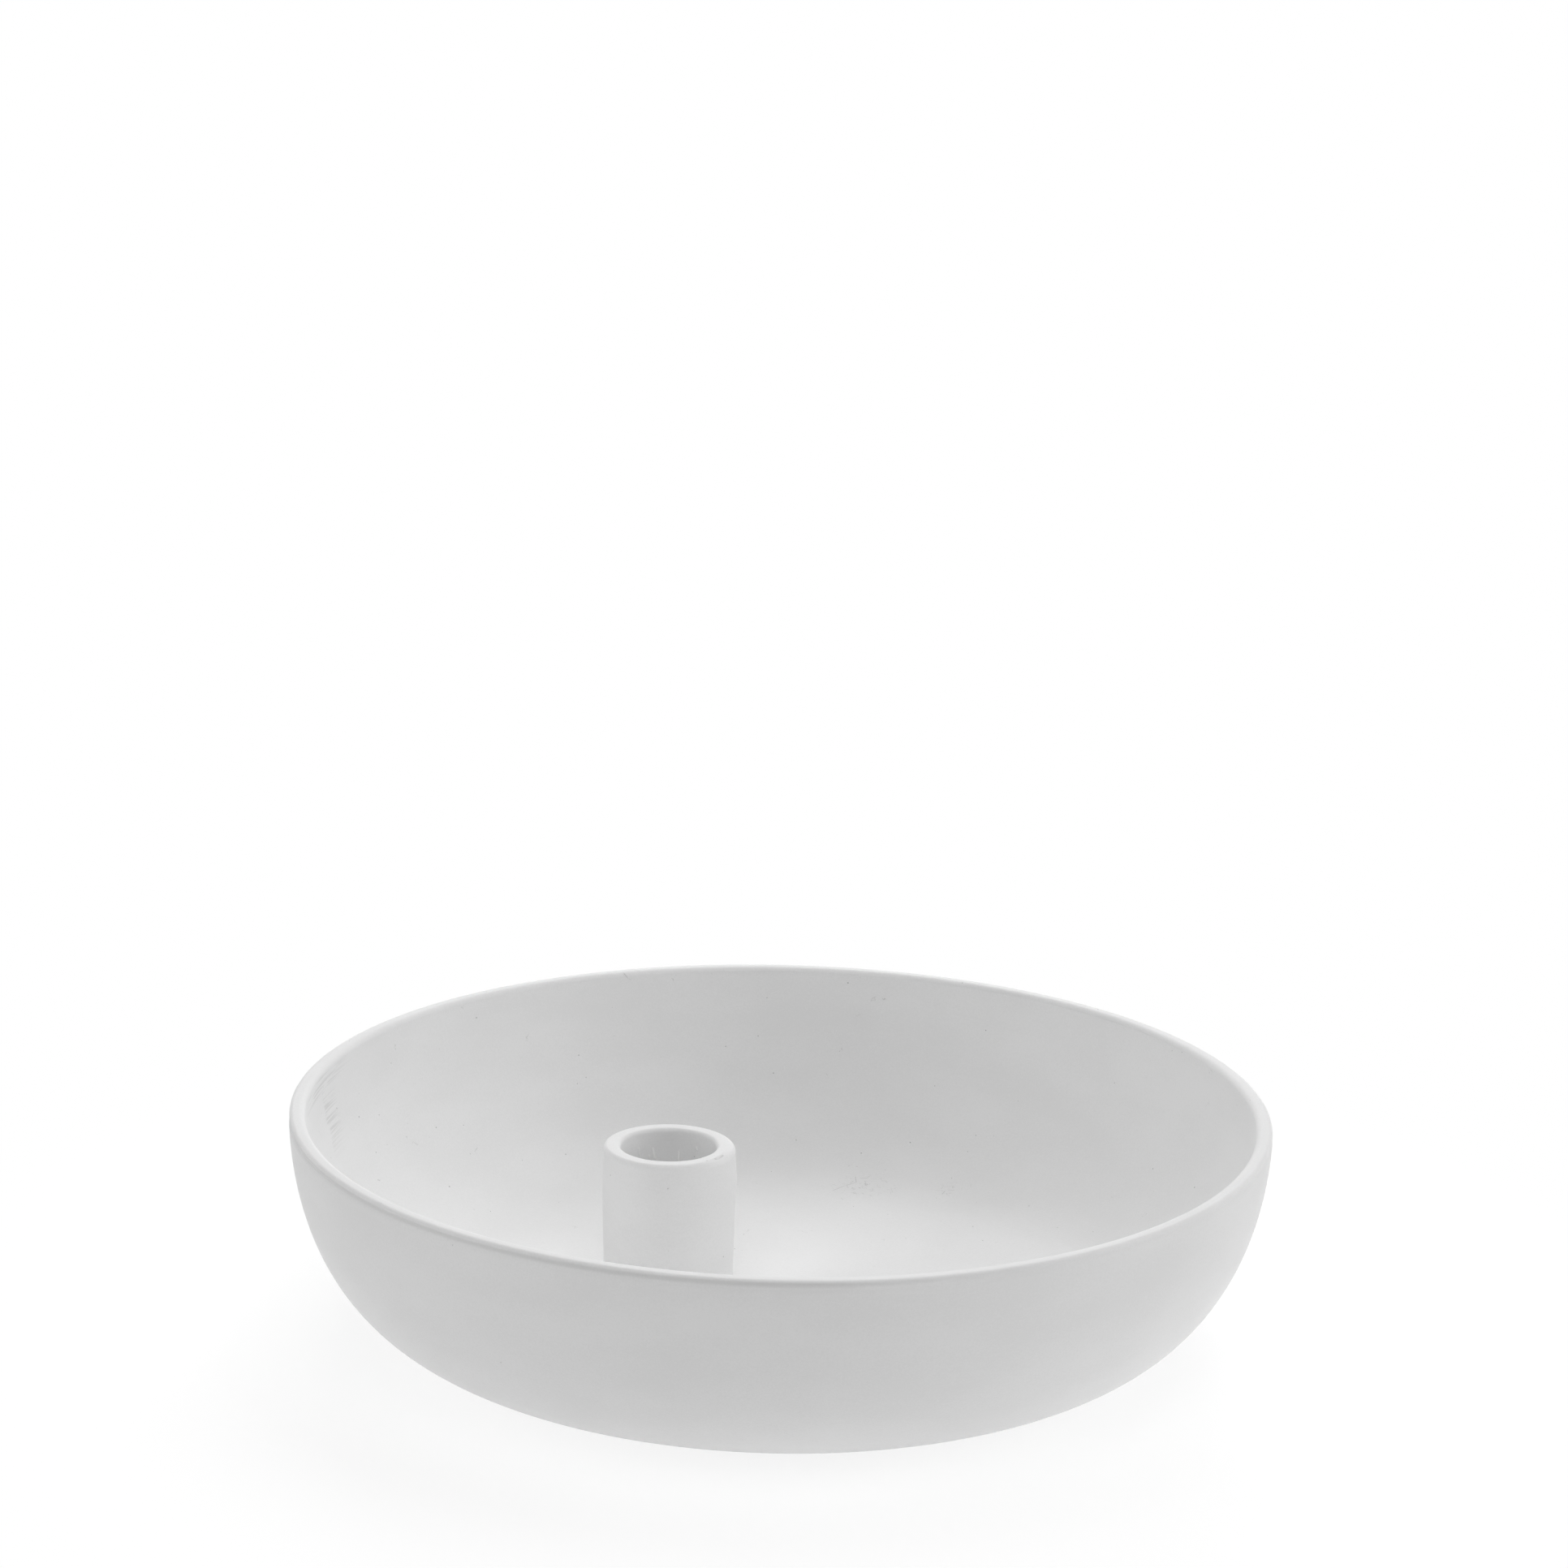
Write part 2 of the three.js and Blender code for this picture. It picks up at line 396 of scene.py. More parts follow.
def fired_bowl(settings):
    """The bowl's outline and its warp from the kiln.

    The outline runs from the axis under the foot, round the belly and the lip, and down the
    inner wall to the axis again. The inner wall lies square in from the belly by a thickness
    that shrinks with the square of the distance left to the rim. The warp lifts and widens
    the rim by two and three waves a turn, and fades to nothing at the foot. It also draws the
    outside in right under the lip by a bell curve of the height, most at the front left.
    """
    wall = settings.wall
    lip_start = BOWL_HEIGHT - settings.lip_outer_round
    foot = settings.foot_radius
    foot_inner = foot - settings.foot_width
    edge = settings.foot_round
    recess = settings.foot_recess
    share = 1 - np.linspace(1, 0, 81)[:, None] ** 1.8
    belly, tangent = bezier((
        (foot, 0),
        (foot + settings.belly_foot_reach, settings.belly_foot_rise),
        (RIM_RADIUS - settings.belly_rim_lean, lip_start - settings.belly_rim_reach),
        (RIM_RADIUS, lip_start)), share)
    thickness = wall + (FLOOR_TOP / tangent[0, 0] - wall) * (1 - share) ** 2
    inward = np.column_stack((-tangent[:, 1], tangent[:, 0]))
    inner_wall = (belly + inward * thickness)[::-1]
    outer_round, inner_round = settings.lip_outer_round, settings.lip_inner_round
    inner_radius = RIM_RADIUS - wall
    profile = outline(
        straight((0, recess), (foot_inner - edge, recess), 12),
        rounding((foot_inner - edge, recess - edge), edge, 1, 0, 5),
        rounding((foot_inner + edge, edge), edge, 2, 3, 5),
        straight((foot_inner + edge, 0), (foot, 0), 6),
        belly,
        rounding((RIM_RADIUS - outer_round, lip_start), outer_round, 0, 1, 9),
        straight((RIM_RADIUS - outer_round, BOWL_HEIGHT),
                 (inner_radius + inner_round, BOWL_HEIGHT), 4),
        rounding((inner_radius + inner_round, BOWL_HEIGHT - inner_round), inner_round, 1, 2, 7),
        inner_wall,
        straight((inner_wall[-1][0], FLOOR_TOP), (0, FLOOR_TOP), 30))
    lip_row = np.argmax(profile[:, 1])
    inside = (np.arange(len(profile)) > lip_row).astype(float)
    from_ring_middle = np.abs(profile[:, 0] - (foot_inner + foot) / 2)
    on_ring = (from_ring_middle < foot - foot_inner) & (profile[:, 1] < recess / 4) & (inside < 1)
    attributes = {"inside": inside, "bare": on_ring.astype(float)}

    def warp(radius, height, angle):
        reach = (height / BOWL_HEIGHT) ** 2
        wider = settings.rim_oval * (np.cos(2 * angle + 0.7) + 0.4 * np.cos(3 * angle - 1.1)) * reach
        lift = settings.rim_lift * (np.cos(2 * angle - 0.9) + 0.6 * np.cos(3 * angle + 0.4)) * reach
        neck = bump_shape(height - (BOWL_HEIGHT - settings.neck_height), 0.75 * MM)
        neck = neck * (0.5 + 0.5 * bump_shape(turn_between(angle, math.radians(225)), 1.1))
        outside = np.clip((radius - (RIM_RADIUS - wall / 2)) / (wall / 4), 0, 1)
        radius = radius + wider * np.clip(radius / RIM_RADIUS, 0, 1)
        radius = radius - settings.neck_depth * neck * outside
        height = height + lift - 1.6 * settings.rim_lift * reach
        return np.stack((radius * np.cos(angle), radius * np.sin(angle), height), axis=-1)

    return profile, attributes, warp


def thrown_socket(settings):
    """The socket's outline and its handmade unevenness.

    The outline runs from the axis under the base, up the outside, over the flat top, down the
    bore and over its bottom to the axis. By bell curves of the depth the outside swells on
    the left and draws in on the right at the top, with a small swelling under that. On the
    left the top's edge is fuller and the top sinks a little towards it. The bore lies a little
    to the left, and its mouth wavers by short waves. At the front right the top's edge is
    worn: behind a small step it sinks towards the outside.
    """
    bore = settings.bore_radius
    top = SOCKET_TOP
    base = FLOOR_TOP - SUNK
    seat = FLOOR_TOP + settings.bottom
    outer_round, bore_round = settings.outer_round, settings.bore_round
    corner = settings.bottom_round
    profile = outline(
        straight((0, base), (SOCKET_RADIUS - settings.draft, base), 4),
        straight((SOCKET_RADIUS - settings.draft, base), (SOCKET_RADIUS, top - outer_round), 60),
        rounding((SOCKET_RADIUS - outer_round, top - outer_round), outer_round, 0, 1, 18),
        straight((SOCKET_RADIUS - outer_round, top), (bore + bore_round, top), 18),
        rounding((bore + bore_round, top - bore_round), bore_round, 1, 2, 8),
        straight((bore, top - bore_round), (bore, seat + corner), 50),
        rounding((bore - corner, seat + corner), corner, 0, -1, 6),
        straight((bore - corner, seat), (0, seat), 8))

    def unevenness(radius, height, angle):
        middle_wall = (bore + SOCKET_RADIUS) / 2
        outside = np.clip((radius - middle_wall) / (SOCKET_RADIUS - middle_wall), 0, 1)
        depth = top - height
        near_top = bump_shape(depth, 2.5 * MM)
        left = bump_shape(turn_between(angle, math.pi), 0.7) * near_top * outside
        leftward = (1 - np.cos(angle)) / 2
        swelling = settings.left_swell * leftward * bump_shape(depth - 13 * MM, 12 * MM)
        swelling = swelling - settings.right_inset * (1 - leftward) * bump_shape(depth, 5.5 * MM)
        bulge = settings.bulge * bump_shape(turn_between(angle, 0.05), 0.5)
        swelling = (swelling + bulge * bump_shape(depth - 8.5 * MM, 2.5 * MM)) * outside
        fuller = settings.left_fullness * left * (SOCKET_RADIUS - radius)
        waver = 0.05 * MM * (np.cos(7 * angle + 1.0) + 0.7 * np.cos(13 * angle + 0.3))
        waver = waver * (1 - outside) * near_top
        past_nick = turn_between(angle, settings.nick_angle)
        nick = settings.nick_radius - settings.nick_lean * past_nick
        worn = bump_shape(past_nick - 0.15, 0.26) * bump_shape(depth, 2.2 * MM)
        slope = np.clip((radius - nick) / (SOCKET_RADIUS - nick), 0, 1)
        step = np.clip((radius - nick) / (0.2 * MM), 0, 1)
        step = step * bump_shape(past_nick, 0.2) * bump_shape(depth, 1.2 * MM)
        sunk = settings.worn_edge * worn * slope + settings.nick_depth * step
        sunk = sunk + settings.left_slope * left * outside
        radius = radius + swelling + fuller + waver
        shift = settings.bore_offset * (1 - outside)
        return np.stack((SOCKET_CENTRE.x - shift + radius * np.cos(angle),
                         SOCKET_CENTRE.y + radius * np.sin(angle), height - sunk), axis=-1)

    return profile, unevenness


def wiped_seam(settings):
    """The seam's closed outline and its waver.

    The outline is a corner with a hollow face, a quarter of a circle seen from outside. Its
    reach over the floor and its height waver by three sine waves round the socket.
    """
    inner = SOCKET_RADIUS - settings.draft - SUNK
    size = SEAM_TOP - FLOOR_TOP
    outer = SEAM_RADIUS
    base = FLOOR_TOP - SUNK
    profile = outline(
        straight((inner, base), (outer, base), 4),
        rounding((outer, SEAM_TOP), size, 3, 2, 14),
        straight((outer - size, SEAM_TOP), (inner, SEAM_TOP), 2),
        straight((inner, SEAM_TOP), (inner, base), 4))[:-1]

    def waver(radius, height, angle):
        wave = np.sin(3 * angle + 0.4) + 0.7 * np.sin(5 * angle + 2.0) + 0.4 * np.sin(11 * angle)
        reach = np.clip((radius - inner) / (outer - inner), 0, 1)
        rise = np.clip((height - FLOOR_TOP) / size, 0, 1)
        radius = radius - settings.seam_waver * (1 + wave / 2) * reach
        height = height - settings.seam_waver * (1 - wave / 2) * rise
        return np.stack((SOCKET_CENTRE.x + radius * np.cos(angle),
                         SOCKET_CENTRE.y + radius * np.sin(angle), height), axis=-1)

    return profile, waver


def add_node(tree, kind, inputs=None, **settings):
    """Adds one node, gives it its settings, and fills its inputs with values or links."""
    node = tree.nodes.new(kind)
    for name, value in settings.items():
        setattr(node, name, value)
    for key, value in (inputs or {}).items():
        if isinstance(value, bpy.types.NodeSocket):
            tree.links.new(value, node.inputs[key])
        else:
            node.inputs[key].default_value = value
    return node


def fresh_material(name):
    """An empty material with nodes, and its node tree."""
    material = bpy.data.materials.new(name)
    material.use_nodes = True
    material.node_tree.nodes.clear()
    return material, material.node_tree


def opaque(colour):
    """A colour with full alpha, for a node's socket."""
    return (*colour, 1.0)


def place_in_mm(tree):
    """The surface's place in the dish's own frame, in millimetres."""
    place = add_node(tree, "ShaderNodeTexCoord").outputs["Object"]
    scaled = add_node(tree, "ShaderNodeVectorMath", {0: place, "Scale": 1 / MM}, operation="SCALE")
    return scaled.outputs[0]


def stretched(tree, place, lengths):
    """The place, divided by a length in millimetres along each axis."""
    shares = tuple(1 / length for length in lengths)
    return add_node(tree, "ShaderNodeVectorMath", {0: place, 1: shares}, operation="MULTIPLY").outputs[0]


def ramp(tree, value, low, high):
    """Zero up to low, one from high, and a smooth rise between them. High may be the lower one."""
    return add_node(tree, "ShaderNodeMapRange", {
        "Value": value, "From Min": low, "From Max": high},
        interpolation_type="SMOOTHSTEP").outputs["Result"]


def times(tree, first, *others):
    """The product of some values."""
    for other in others:
        first = add_node(tree, "ShaderNodeMath", {0: first, 1: other}, operation="MULTIPLY").outputs[0]
    return first


def largest(tree, first, *others):
    """The largest of some values."""
    for other in others:
        first = add_node(tree, "ShaderNodeMath", {0: first, 1: other}, operation="MAXIMUM").outputs[0]
    return first


def clouded_coat(tree, place, look):
    """The glaze's colour: it goes from thick to thin in soft clouds, with a fine tooth in it."""
    clouds = add_node(tree, "ShaderNodeTexNoise", {
        "Vector": stretched(tree, place, (30, 30, 12)), "Scale": 1.0, "Detail": 3.0})
    tooth = add_node(tree, "ShaderNodeTexNoise", {"Vector": place, "Scale": 1 / 0.45, "Detail": 1.0})
    both = add_node(tree, "ShaderNodeMath", {
        0: clouds.outputs["Fac"], 1: tooth.outputs["Fac"]}, operation="ADD")
    thick = ramp(tree, both.outputs[0], 0.7, 1.3)
    return add_node(tree, "ShaderNodeMix", {
        "Factor": thick, "A": opaque(look.thin_glaze), "B": opaque(look.glaze)},
        data_type="RGBA").outputs["Result"]


def pinholes(tree, place, look, kept):
    """Pinholes: one in each kept cell of a random lattice, each with its own size."""
    spacing, radius = look.pinhole_spacing / MM, look.pinhole_radius / MM
    cells = add_node(tree, "ShaderNodeTexVoronoi", {"Vector": place, "Scale": 1 / spacing})
    chance = add_node(tree, "ShaderNodeSeparateColor", {"Color": cells.outputs["Color"]})
    size = add_node(tree, "ShaderNodeMapRange", {
        "Value": chance.outputs["Red"], "From Min": 1 - kept, "To Max": radius / spacing})
    depth = add_node(tree, "ShaderNodeMath", {
        0: size.outputs["Result"], 1: cells.outputs["Distance"]}, operation="SUBTRACT")
    return add_node(tree, "ShaderNodeMath", {
        0: depth.outputs[0], 1: 4 * spacing / radius}, operation="MULTIPLY", use_clamp=True).outputs[0]


def hairlines(tree, place, look):
    """Fine broken curves where the glaze has crawled: parts of the edges of a bent lattice."""
    spacing = 3.2
    bend = add_node(tree, "ShaderNodeTexNoise", {"Vector": place, "Scale": 1 / 2.2, "Detail": 1.0})
    bent = add_node(tree, "ShaderNodeVectorMath", {
        0: bend.outputs["Color"], 1: (3.2, 3.2, 3.2), 2: place}, operation="MULTIPLY_ADD")
    cells = add_node(tree, "ShaderNodeTexVoronoi", {
        "Vector": bent.outputs[0], "Scale": 1 / spacing}, feature="DISTANCE_TO_EDGE")
    line = ramp(tree, cells.outputs["Distance"], look.hairline_width / 2 / MM / spacing, 0)
    breaks = add_node(tree, "ShaderNodeTexNoise", {"Vector": place, "Scale": 1 / 2.4, "Detail": 1.0})
    return times(tree, line, ramp(tree, breaks.outputs["Fac"], 0.5, 0.54))


def single_lines(tree, place, runs, reach):
    """Single fine lines, each a straight run between two places in millimetres.

    The distance from a run is the length of what is left of the way from its start, after the
    nearest share of the run is taken off. The line fades out over the reach, in millimetres.
    """
    lines = []
    for start, end in runs:
        way = tuple(b - a for a, b in zip(start, end))
        length_squared = sum(part * part for part in way)
        offset = add_node(tree, "ShaderNodeVectorMath", {0: place, 1: start}, operation="SUBTRACT")
        along = add_node(tree, "ShaderNodeVectorMath", {
            0: offset.outputs[0], 1: way}, operation="DOT_PRODUCT").outputs["Value"]
        share = add_node(tree, "ShaderNodeMath", {
            0: along, 1: length_squared}, operation="DIVIDE", use_clamp=True).outputs[0]
        nearest = add_node(tree, "ShaderNodeVectorMath", {0: way, "Scale": share}, operation="SCALE")
        away = add_node(tree, "ShaderNodeVectorMath", {
            0: offset.outputs[0], 1: nearest.outputs[0]}, operation="DISTANCE").outputs["Value"]
        lines.append(ramp(tree, away, reach, 0))
    return largest(tree, *lines)


def on_socket(radius, turn, depth, aside=0):
    """A place on the socket in millimetres: its turn is in degrees, its depth under the top.

    Aside is how far the middle of the turn lies to the left of the socket's middle.
    """
    angle = math.radians(turn)
    return (SOCKET_CENTRE.x / MM - aside + radius * math.cos(angle),
            SOCKET_CENTRE.y / MM + radius * math.sin(angle), SOCKET_TOP / MM - depth)


def fired_surface(tree, colour, height, look):
    """The shader of the fired glaze, with a relief whose height is in millimetres."""
    relief = add_node(tree, "ShaderNodeBump", {"Strength": 1.0, "Distance": MM, "Height": height})
    shader = add_node(tree, "ShaderNodeBsdfPrincipled", {
        "Base Color": colour, "Roughness": look.roughness, "Diffuse Roughness": 0.6,
        "IOR": 1.5, "Normal": relief.outputs["Normal"]})
    add_node(tree, "ShaderNodeOutputMaterial", {"Surface": shader.outputs[0]})


def crawled_patches(tree, place):
    """Where the glaze has crawled: two places on the floor at the back, and a few small ones."""
    patches = []
    for centre, inner, outer in (((23, 77, 6.5), 4, 11), ((46, 74, 6.5), 1.5, 5)):
        away = add_node(tree, "ShaderNodeVectorMath", {0: place, 1: centre}, operation="DISTANCE")
        patches.append(ramp(tree, away.outputs["Value"], outer, inner))
    here_and_there = add_node(tree, "ShaderNodeTexNoise", {"Vector": place, "Scale": 1 / 5, "Detail": 0.0})
    patches.append(ramp(tree, here_and_there.outputs["Fac"], 0.77, 0.81))
    return largest(tree, *patches)


def combed_strokes(tree, place):
    """Dark strokes that a sponge has combed into the glaze inside the left of the wall.

    They run round the wall, nearly a millimetre apart. Some lie in a band under the rim. Others
    start at a sharp upright edge under it, and fade out towards the back. The turn is in
    degrees, from the left towards the back.
    """
    parts = add_node(tree, "ShaderNodeSeparateXYZ", {0: place})
    height = parts.outputs["Z"]
    leftward = times(tree, parts.outputs["X"], -1.0)
    angle = add_node(tree, "ShaderNodeMath", {0: parts.outputs["Y"], 1: leftward}, operation="ARCTAN2")
    turn = add_node(tree, "ShaderNodeMath", {0: angle.outputs[0]}, operation="DEGREES").outputs[0]
    lines = add_node(tree, "ShaderNodeTexNoise", {
        "Vector": stretched(tree, place, (14, 14, 0.42)), "Scale": 1.0, "Detail": 0.0})
    strokes = ramp(tree, lines.outputs["Fac"], 0.45, 0.6)
    band = times(tree, ramp(tree, turn, -4, 5), ramp(tree, turn, 22, 7),
                 ramp(tree, height, 48.8, 50), ramp(tree, height, 53.6, 52.8))
    edge = add_node(tree, "ShaderNodeTexNoise", {
        "Vector": stretched(tree, place, (50, 50, 5)), "Scale": 1.0, "Detail": 2.0})
    waver = add_node(tree, "ShaderNodeMath", {
        0: edge.outputs["Fac"], 1: 2.4, 2: turn}, operation="MULTIPLY_ADD").outputs[0]
    smear = times(tree, ramp(tree, waver, 9.6, 10.3), ramp(tree, waver, 16.5, 11),
                  ramp(tree, height, 30, 40), ramp(tree, height, 50.5, 48))
    return times(tree, largest(tree, band, smear), strokes)


def painted_shade_under_lip(tree, place):
    """Painted shade in the groove right under the lip, on the outside, most at the front left.

    Its share rises with the part of the place's reach that points to the front left.
    """
    toward = math.radians(238)
    front_left = (math.cos(toward), math.sin(toward), 0)
    reach = add_node(tree, "ShaderNodeVectorMath", {
        0: place, 1: front_left}, operation="DOT_PRODUCT").outputs["Value"]
    height = add_node(tree, "ShaderNodeSeparateXYZ", {0: place}).outputs["Z"]
    return times(tree, ramp(tree, reach, 60, 116), ramp(tree, height, 52.6, 53.6),
                 ramp(tree, height, 54.4, 53.9))


def glaze_on_bowl(look):
    """Matt white glaze, sprayed on a jiggered stoneware bowl and fired.

    The eye sees an even, chalky off-white with almost no shine, faintly clouded. It has
    scattered pinholes inside, a few curved hairlines on the floor, soft turning lines under
    the rim, a smear with combed strokes on the left, and a ring of bare clay under the foot.
    A dark line of painted shade lies in the groove under the lip, on the outside.
    """
    material, tree = fresh_material("matt glaze on the bowl")
    place = place_in_mm(tree)
    inside = add_node(tree, "ShaderNodeAttribute", attribute_name="inside").outputs["Fac"]
    bare = add_node(tree, "ShaderNodeAttribute", attribute_name="bare").outputs["Fac"]
    few = pinholes(tree, place, look, kept=0.03)
    many = times(tree, pinholes(tree, place, look, kept=0.2), inside)
    holes = largest(tree, few, many)
    curls = times(tree, hairlines(tree, place, look), crawled_patches(tree, place), inside)
    longest = (
        ((14.4, 73.4, 6.0), (17.3, 76.9, 6.0)),
        ((17.3, 76.9, 6.0), (20.6, 80.0, 6.0)),
        ((20.6, 80.0, 6.0), (20.4, 83.4, 6.4)),
        ((21.7, 82.5, 6.3), (23.7, 82.5, 6.4)),
        ((43.3, 71.8, 6.1), (44.1, 73.7, 6.4)),
        ((45.0, 74.2, 6.5), (46.6, 73.8, 6.6)),
    )
    long_cracks = single_lines(tree, place, longest, look.hairline_width / MM * 0.75)
    cracks = largest(tree, curls, long_cracks)
    strokes = times(tree, combed_strokes(tree, place), inside)
    # marks mixes the dust in pinholes, cracks and strokes with the painted shade under the lip.
    marks = largest(tree, times(tree, holes, 0.6), times(tree, cracks, 0.4), times(tree, strokes, 0.18),
                    times(tree, painted_shade_under_lip(tree, place), 0.2))
    glazed = add_node(tree, "ShaderNodeMix", {
        "Factor": marks, "A": clouded_coat(tree, place, look), "B": opaque(look.dust_and_shade)},
        data_type="RGBA").outputs["Result"]
    colour = add_node(tree, "ShaderNodeMix", {
        "Factor": bare, "A": glazed, "B": opaque(look.bare_clay)}, data_type="RGBA").outputs["Result"]
    turning = add_node(tree, "ShaderNodeTexNoise", {
        "Vector": stretched(tree, place, (45, 45, 1.1)), "Scale": 1.0, "Detail": 3.0})
    grain = add_node(tree, "ShaderNodeTexNoise", {"Vector": place, "Scale": 1 / 0.6, "Detail": 2.0})
    sunk = largest(tree, times(tree, holes, 0.12), times(tree, cracks, 0.04), times(tree, strokes, 0.015))
    ridges = times(tree, turning.outputs["Fac"], 0.012)
    raised = add_node(tree, "ShaderNodeMath", {
        0: grain.outputs["Fac"], 1: 0.014, 2: ridges}, operation="MULTIPLY_ADD").outputs[0]
    height = add_node(tree, "ShaderNodeMath", {0: raised, 1: sunk}, operation="SUBTRACT").outputs[0]
    fired_surface(tree, colour, height, look)
    return material


def glaze_on_socket(look, sizes):
    """Matt white glaze on the thrown socket, sponged smooth before the firing.

    The eye sees the bowl's off-white with hardly a pinhole. On the back wall of the bore, thin
    runs of thicker glaze have dried as short, light, upright streaks. A dark line of painted
    shade lies along the step where the top's edge is worn.
    """
    material, tree = fresh_material("matt glaze on the socket")
    place = place_in_mm(tree)
    wall, nick = sizes.bore_radius / MM, sizes.nick_radius / MM
    outside, aside = SOCKET_RADIUS / MM, sizes.bore_offset / MM
    runs = [(on_socket(wall, turn, top, aside), on_socket(wall, turn + lean, bottom, aside))
            for turn, lean, top, bottom in (
                (130, -1, 4.5, 5.9), (111, -3, 5.1, 7.6), (116, -1, 6.7, 7.4),
                (79, 0.5, 5.9, 8.0), (56, -1, 4.0, 4.6))]
    streaks = single_lines(tree, place, runs, 0.45)
    # A dark line of painted shade along the small step where the worn edge begins.
    steps = [(on_socket(nick + 0.1, -40, 0.15), on_socket(nick + 0.25, -36, 0.15)),
             (on_socket(nick + 0.25, -36, 0.15), on_socket(nick - 0.05, -27, 0.15))]
    painted_step_shade = single_lines(tree, place, steps, 0.45)
    specks = [(on_socket(outside - 1, turn, depth), on_socket(outside + 1, turn, depth))
              for turn, depth in ((-150, 5.4), (-90, 5.6), (-32, 25.7))]
    specks.append((on_socket(wall - 1, 58.6, 6.6, aside), on_socket(wall + 1, 58.6, 6.6, aside)))
    holes = largest(tree, pinholes(tree, place, look, kept=0.1), single_lines(tree, place, specks, 0.3))
    # Dust in the pinholes and specks, and the painted shade along the step.
    dust_and_step_shade = largest(tree, times(tree, holes, 0.45), times(tree, painted_step_shade, 0.45))
    marked = add_node(tree, "ShaderNodeMix", {
        "Factor": dust_and_step_shade, "A": clouded_coat(tree, place, look), "B": opaque(look.dust_and_shade)},
        data_type="RGBA").outputs["Result"]
    colour = add_node(tree, "ShaderNodeMix", {
        "Factor": times(tree, streaks, 0.8), "A": marked, "B": opaque(linear("#FBFBFA"))},
        data_type="RGBA").outputs["Result"]
    grain = add_node(tree, "ShaderNodeTexNoise", {"Vector": place, "Scale": 1 / 0.6, "Detail": 2.0})
    sponged = add_node(tree, "ShaderNodeTexNoise", {"Vector": place, "Scale": 1 / 5, "Detail": 1.0})
    soft = add_node(tree, "ShaderNodeMath", {
        0: sponged.outputs["Fac"], 1: 0.06, 2: times(tree, streaks, 0.15)}, operation="MULTIPLY_ADD")
    raised = add_node(tree, "ShaderNodeMath", {
        0: grain.outputs["Fac"], 1: 0.014, 2: soft.outputs[0]}, operation="MULTIPLY_ADD").outputs[0]
    height = add_node(tree, "ShaderNodeMath", {
        0: raised, 1: times(tree, holes, 0.1)}, operation="SUBTRACT").outputs[0]
    fired_surface(tree, colour, height, look)
    return material


def glaze_on_seam(look):
    """Matt white glaze over the wiped bead of slip.

    The eye sees the same off-white, with the soft drag marks of the wiping tool round it.
    """
    material, tree = fresh_material("matt glaze on the seam")
    place = place_in_mm(tree)
    drag = add_node(tree, "ShaderNodeTexNoise", {
        "Vector": stretched(tree, place, (3, 3, 0.8)), "Scale": 1.0, "Detail": 2.0})
    height = times(tree, drag.outputs["Fac"], 0.06)
    fired_surface(tree, clouded_coat(tree, place, look), height, look)
    return material


def finish_piece(piece, node, material):
    """Gives a piece its material and its place in the measured model."""
    piece.data.materials.append(material)
    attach(piece, "root")
    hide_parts(node)


class CANDLEDISH_OT_bowl(bpy.types.Operator):
    """Build the bowl with its fired warp and matt glaze"""

    bl_idname = "candledish.bowl"
    bl_label = "Build Bowl"

    def execute(self, context):
        settings = context.scene.candle_dish_bowl
        profile, attributes, warp = fired_bowl(settings)
        piece = turned_solid("glazed_bowl", profile, settings.sides, attributes, warp)
        material = glaze_on_bowl(context.scene.candle_dish_glaze)
        finish_piece(piece, "dish_bowl", material)
        return {"FINISHED"}


class CANDLEDISH_OT_socket(bpy.types.Operator):
    """Build the candle socket and the seam that lutes it to the floor"""

    bl_idname = "candledish.socket"
    bl_label = "Build Socket and Seam"

    def execute(self, context):
        settings = context.scene.candle_dish_socket
        look = context.scene.candle_dish_glaze
        profile, unevenness = thrown_socket(settings)
        socket = turned_solid("glazed_socket", profile, settings.sides, {}, unevenness)
        finish_piece(socket, "candle_socket", glaze_on_socket(look, settings))
        profile, waver = wiped_seam(settings)
        seam = turned_ring("wiped_seam", profile, settings.sides, waver)
        finish_piece(seam, "socket_seam", glaze_on_seam(look))
        return {"FINISHED"}


def softbox(name, azimuth, elevation, power, studio):
    """A square lamp that faces the dish. Azimuth 0 is on the right, and 90 degrees behind."""
    lamp = bpy.data.lights.new(name, "AREA")
    lamp.size = studio.lamp_size
    lamp.energy = power
    holder = bpy.data.objects.new(name, lamp)
    turn, rise = math.radians(azimuth), math.radians(elevation)
    way = Vector((math.cos(rise) * math.cos(turn), math.cos(rise) * math.sin(turn), math.sin(rise)))
    faced = way.to_track_quat("Z", "Y").to_matrix().to_4x4()
    holder.matrix_world = Matrix.Translation(way * studio.lamp_distance) @ faced
    bpy.context.scene.collection.objects.link(holder)


def photo_camera(studio):
    """The camera at the photograph's place: over the table's near edge, looking down a little."""
    rise, tilt = studio.camera_elevation, studio.camera_tilt
    turn, roll = studio.camera_turn, studio.camera_roll
    place = Vector((0, -math.cos(rise), math.sin(rise))) * studio.camera_distance
    pitch = rise - tilt
    look = Matrix.Rotation(math.pi / 2 - pitch, 4, "X")
    sideways = Matrix.Rotation(-turn, 4, "Y")
    rolled = Matrix.Rotation(roll, 4, "Z")
    camera = bpy.data.cameras.new("camera")
    camera.lens = studio.lens
    camera.sensor_width = 36
    holder = bpy.data.objects.new("camera", camera)
    holder.matrix_world = Matrix.Translation(place) @ look @ sideways @ rolled
    bpy.context.scene.collection.objects.link(holder)
    bpy.context.scene.camera = holder


def seen_directly(tree):
    """One where the camera, a reflection or a view through glass meets the surface."""
    path = add_node(tree, "ShaderNodeLightPath")
    return largest(tree, path.outputs["Is Camera Ray"], path.outputs["Is Glossy Ray"],
                   path.outputs["Is Transmission Ray"])


